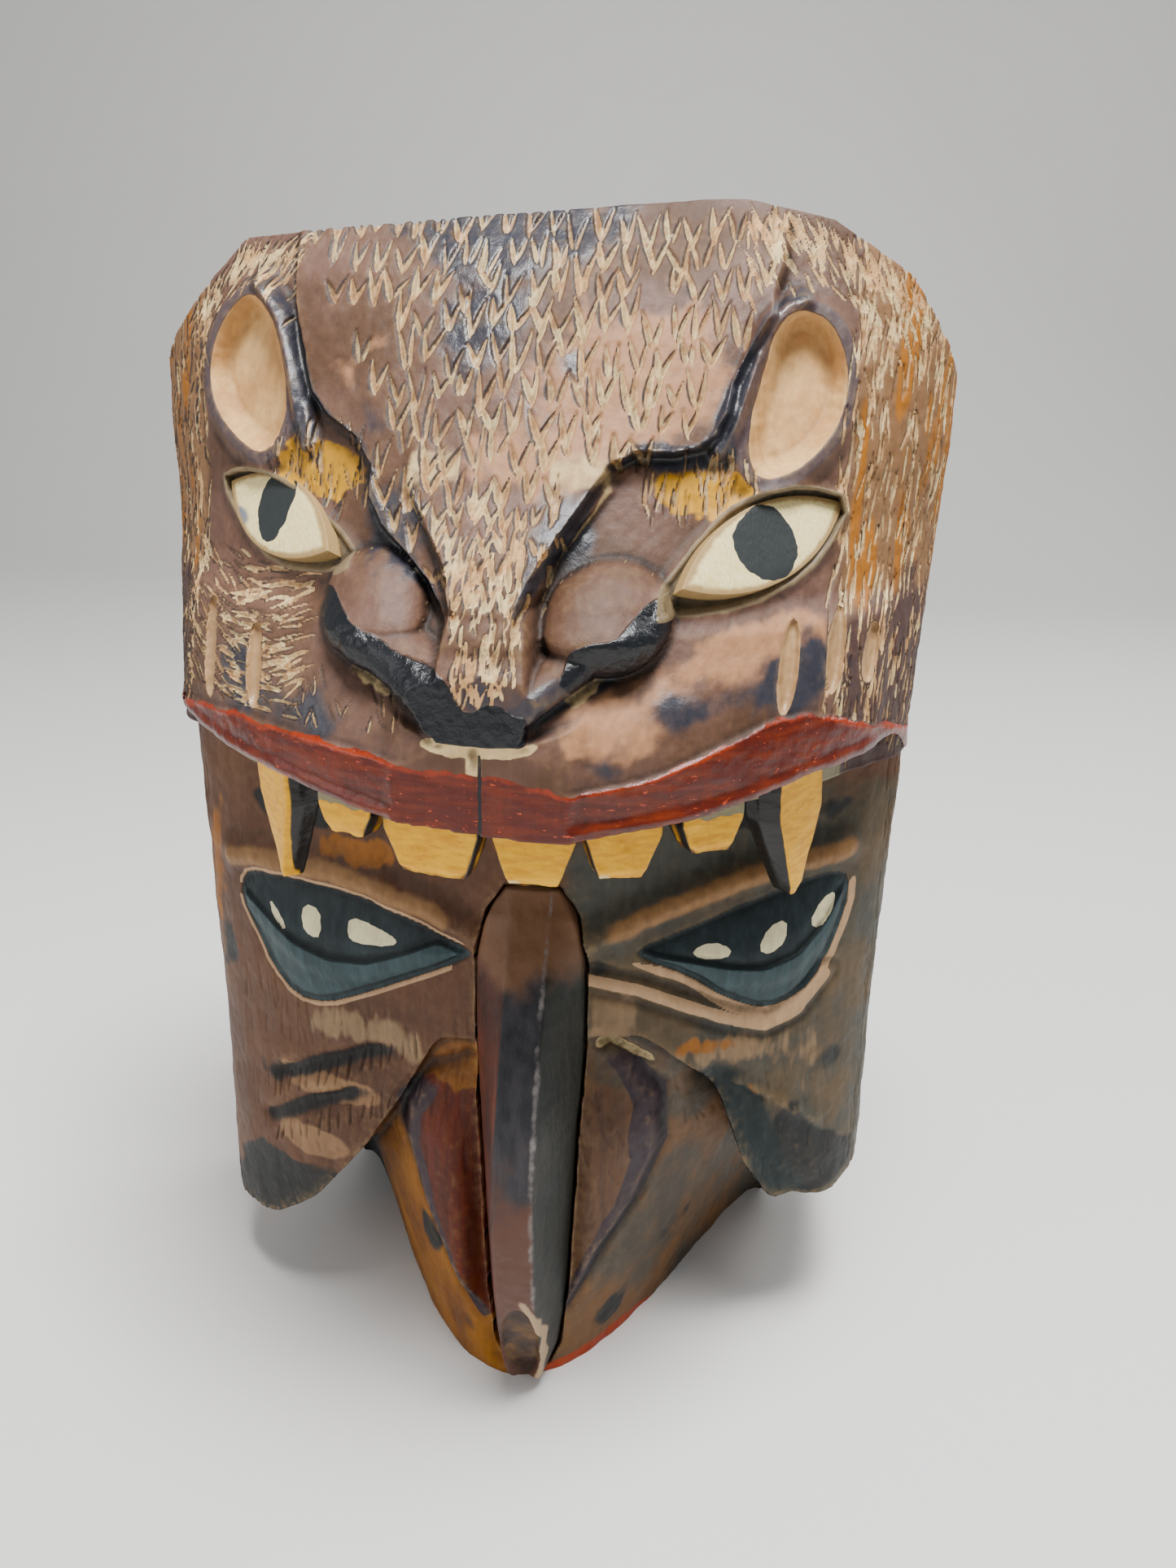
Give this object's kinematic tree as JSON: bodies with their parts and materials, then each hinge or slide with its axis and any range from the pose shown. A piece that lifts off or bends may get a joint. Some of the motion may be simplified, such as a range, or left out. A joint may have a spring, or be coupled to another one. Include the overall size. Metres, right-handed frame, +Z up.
{
  "type": "mexican folk art mask",
  "caption": "Carved and painted wooden mask: an animal head with a toothed upper lip over a beaked face, hollow behind.",
  "frame": {"origin": "centre of the bounding box at the level the base rests on", "axes": "+X to the right of someone facing the mask, +Y from the face to the rear rim, +Z up to the crown"},
  "size_m": [0.186, 0.1283, 0.2907],
  "materials": {
    "face_wood": "stained and painted carved wood, satin, worn",
    "head_wood": "scorched and stained carved wood with bare gouge cuts, satin",
    "beak_wood": "dark stained carved wood, satin with polished ridges",
    "eye_wood": "bare pale wood with painted pupil, matte",
    "tooth_wood": "golden stained wood, scorched at the root, satin",
    "dowel_wood": "plain turned wood, matte"
  },
  "bodies": {
    "root": {"face_block": "face_wood", "animal_head": "head_wood", "nose_beak": "beak_wood", "eye_left": "eye_wood", "eye_right": "eye_wood", "canine_left": "tooth_wood", "incisor_1": "tooth_wood", "incisor_2": "tooth_wood", "incisor_3": "tooth_wood", "incisor_4": "tooth_wood", "incisor_5": "tooth_wood", "canine_right": "tooth_wood", "dowel_front_left": "dowel_wood", "dowel_front_right": "dowel_wood", "dowel_rear_left": "dowel_wood", "dowel_rear_right": "dowel_wood"}
  },
  "joints": []
}
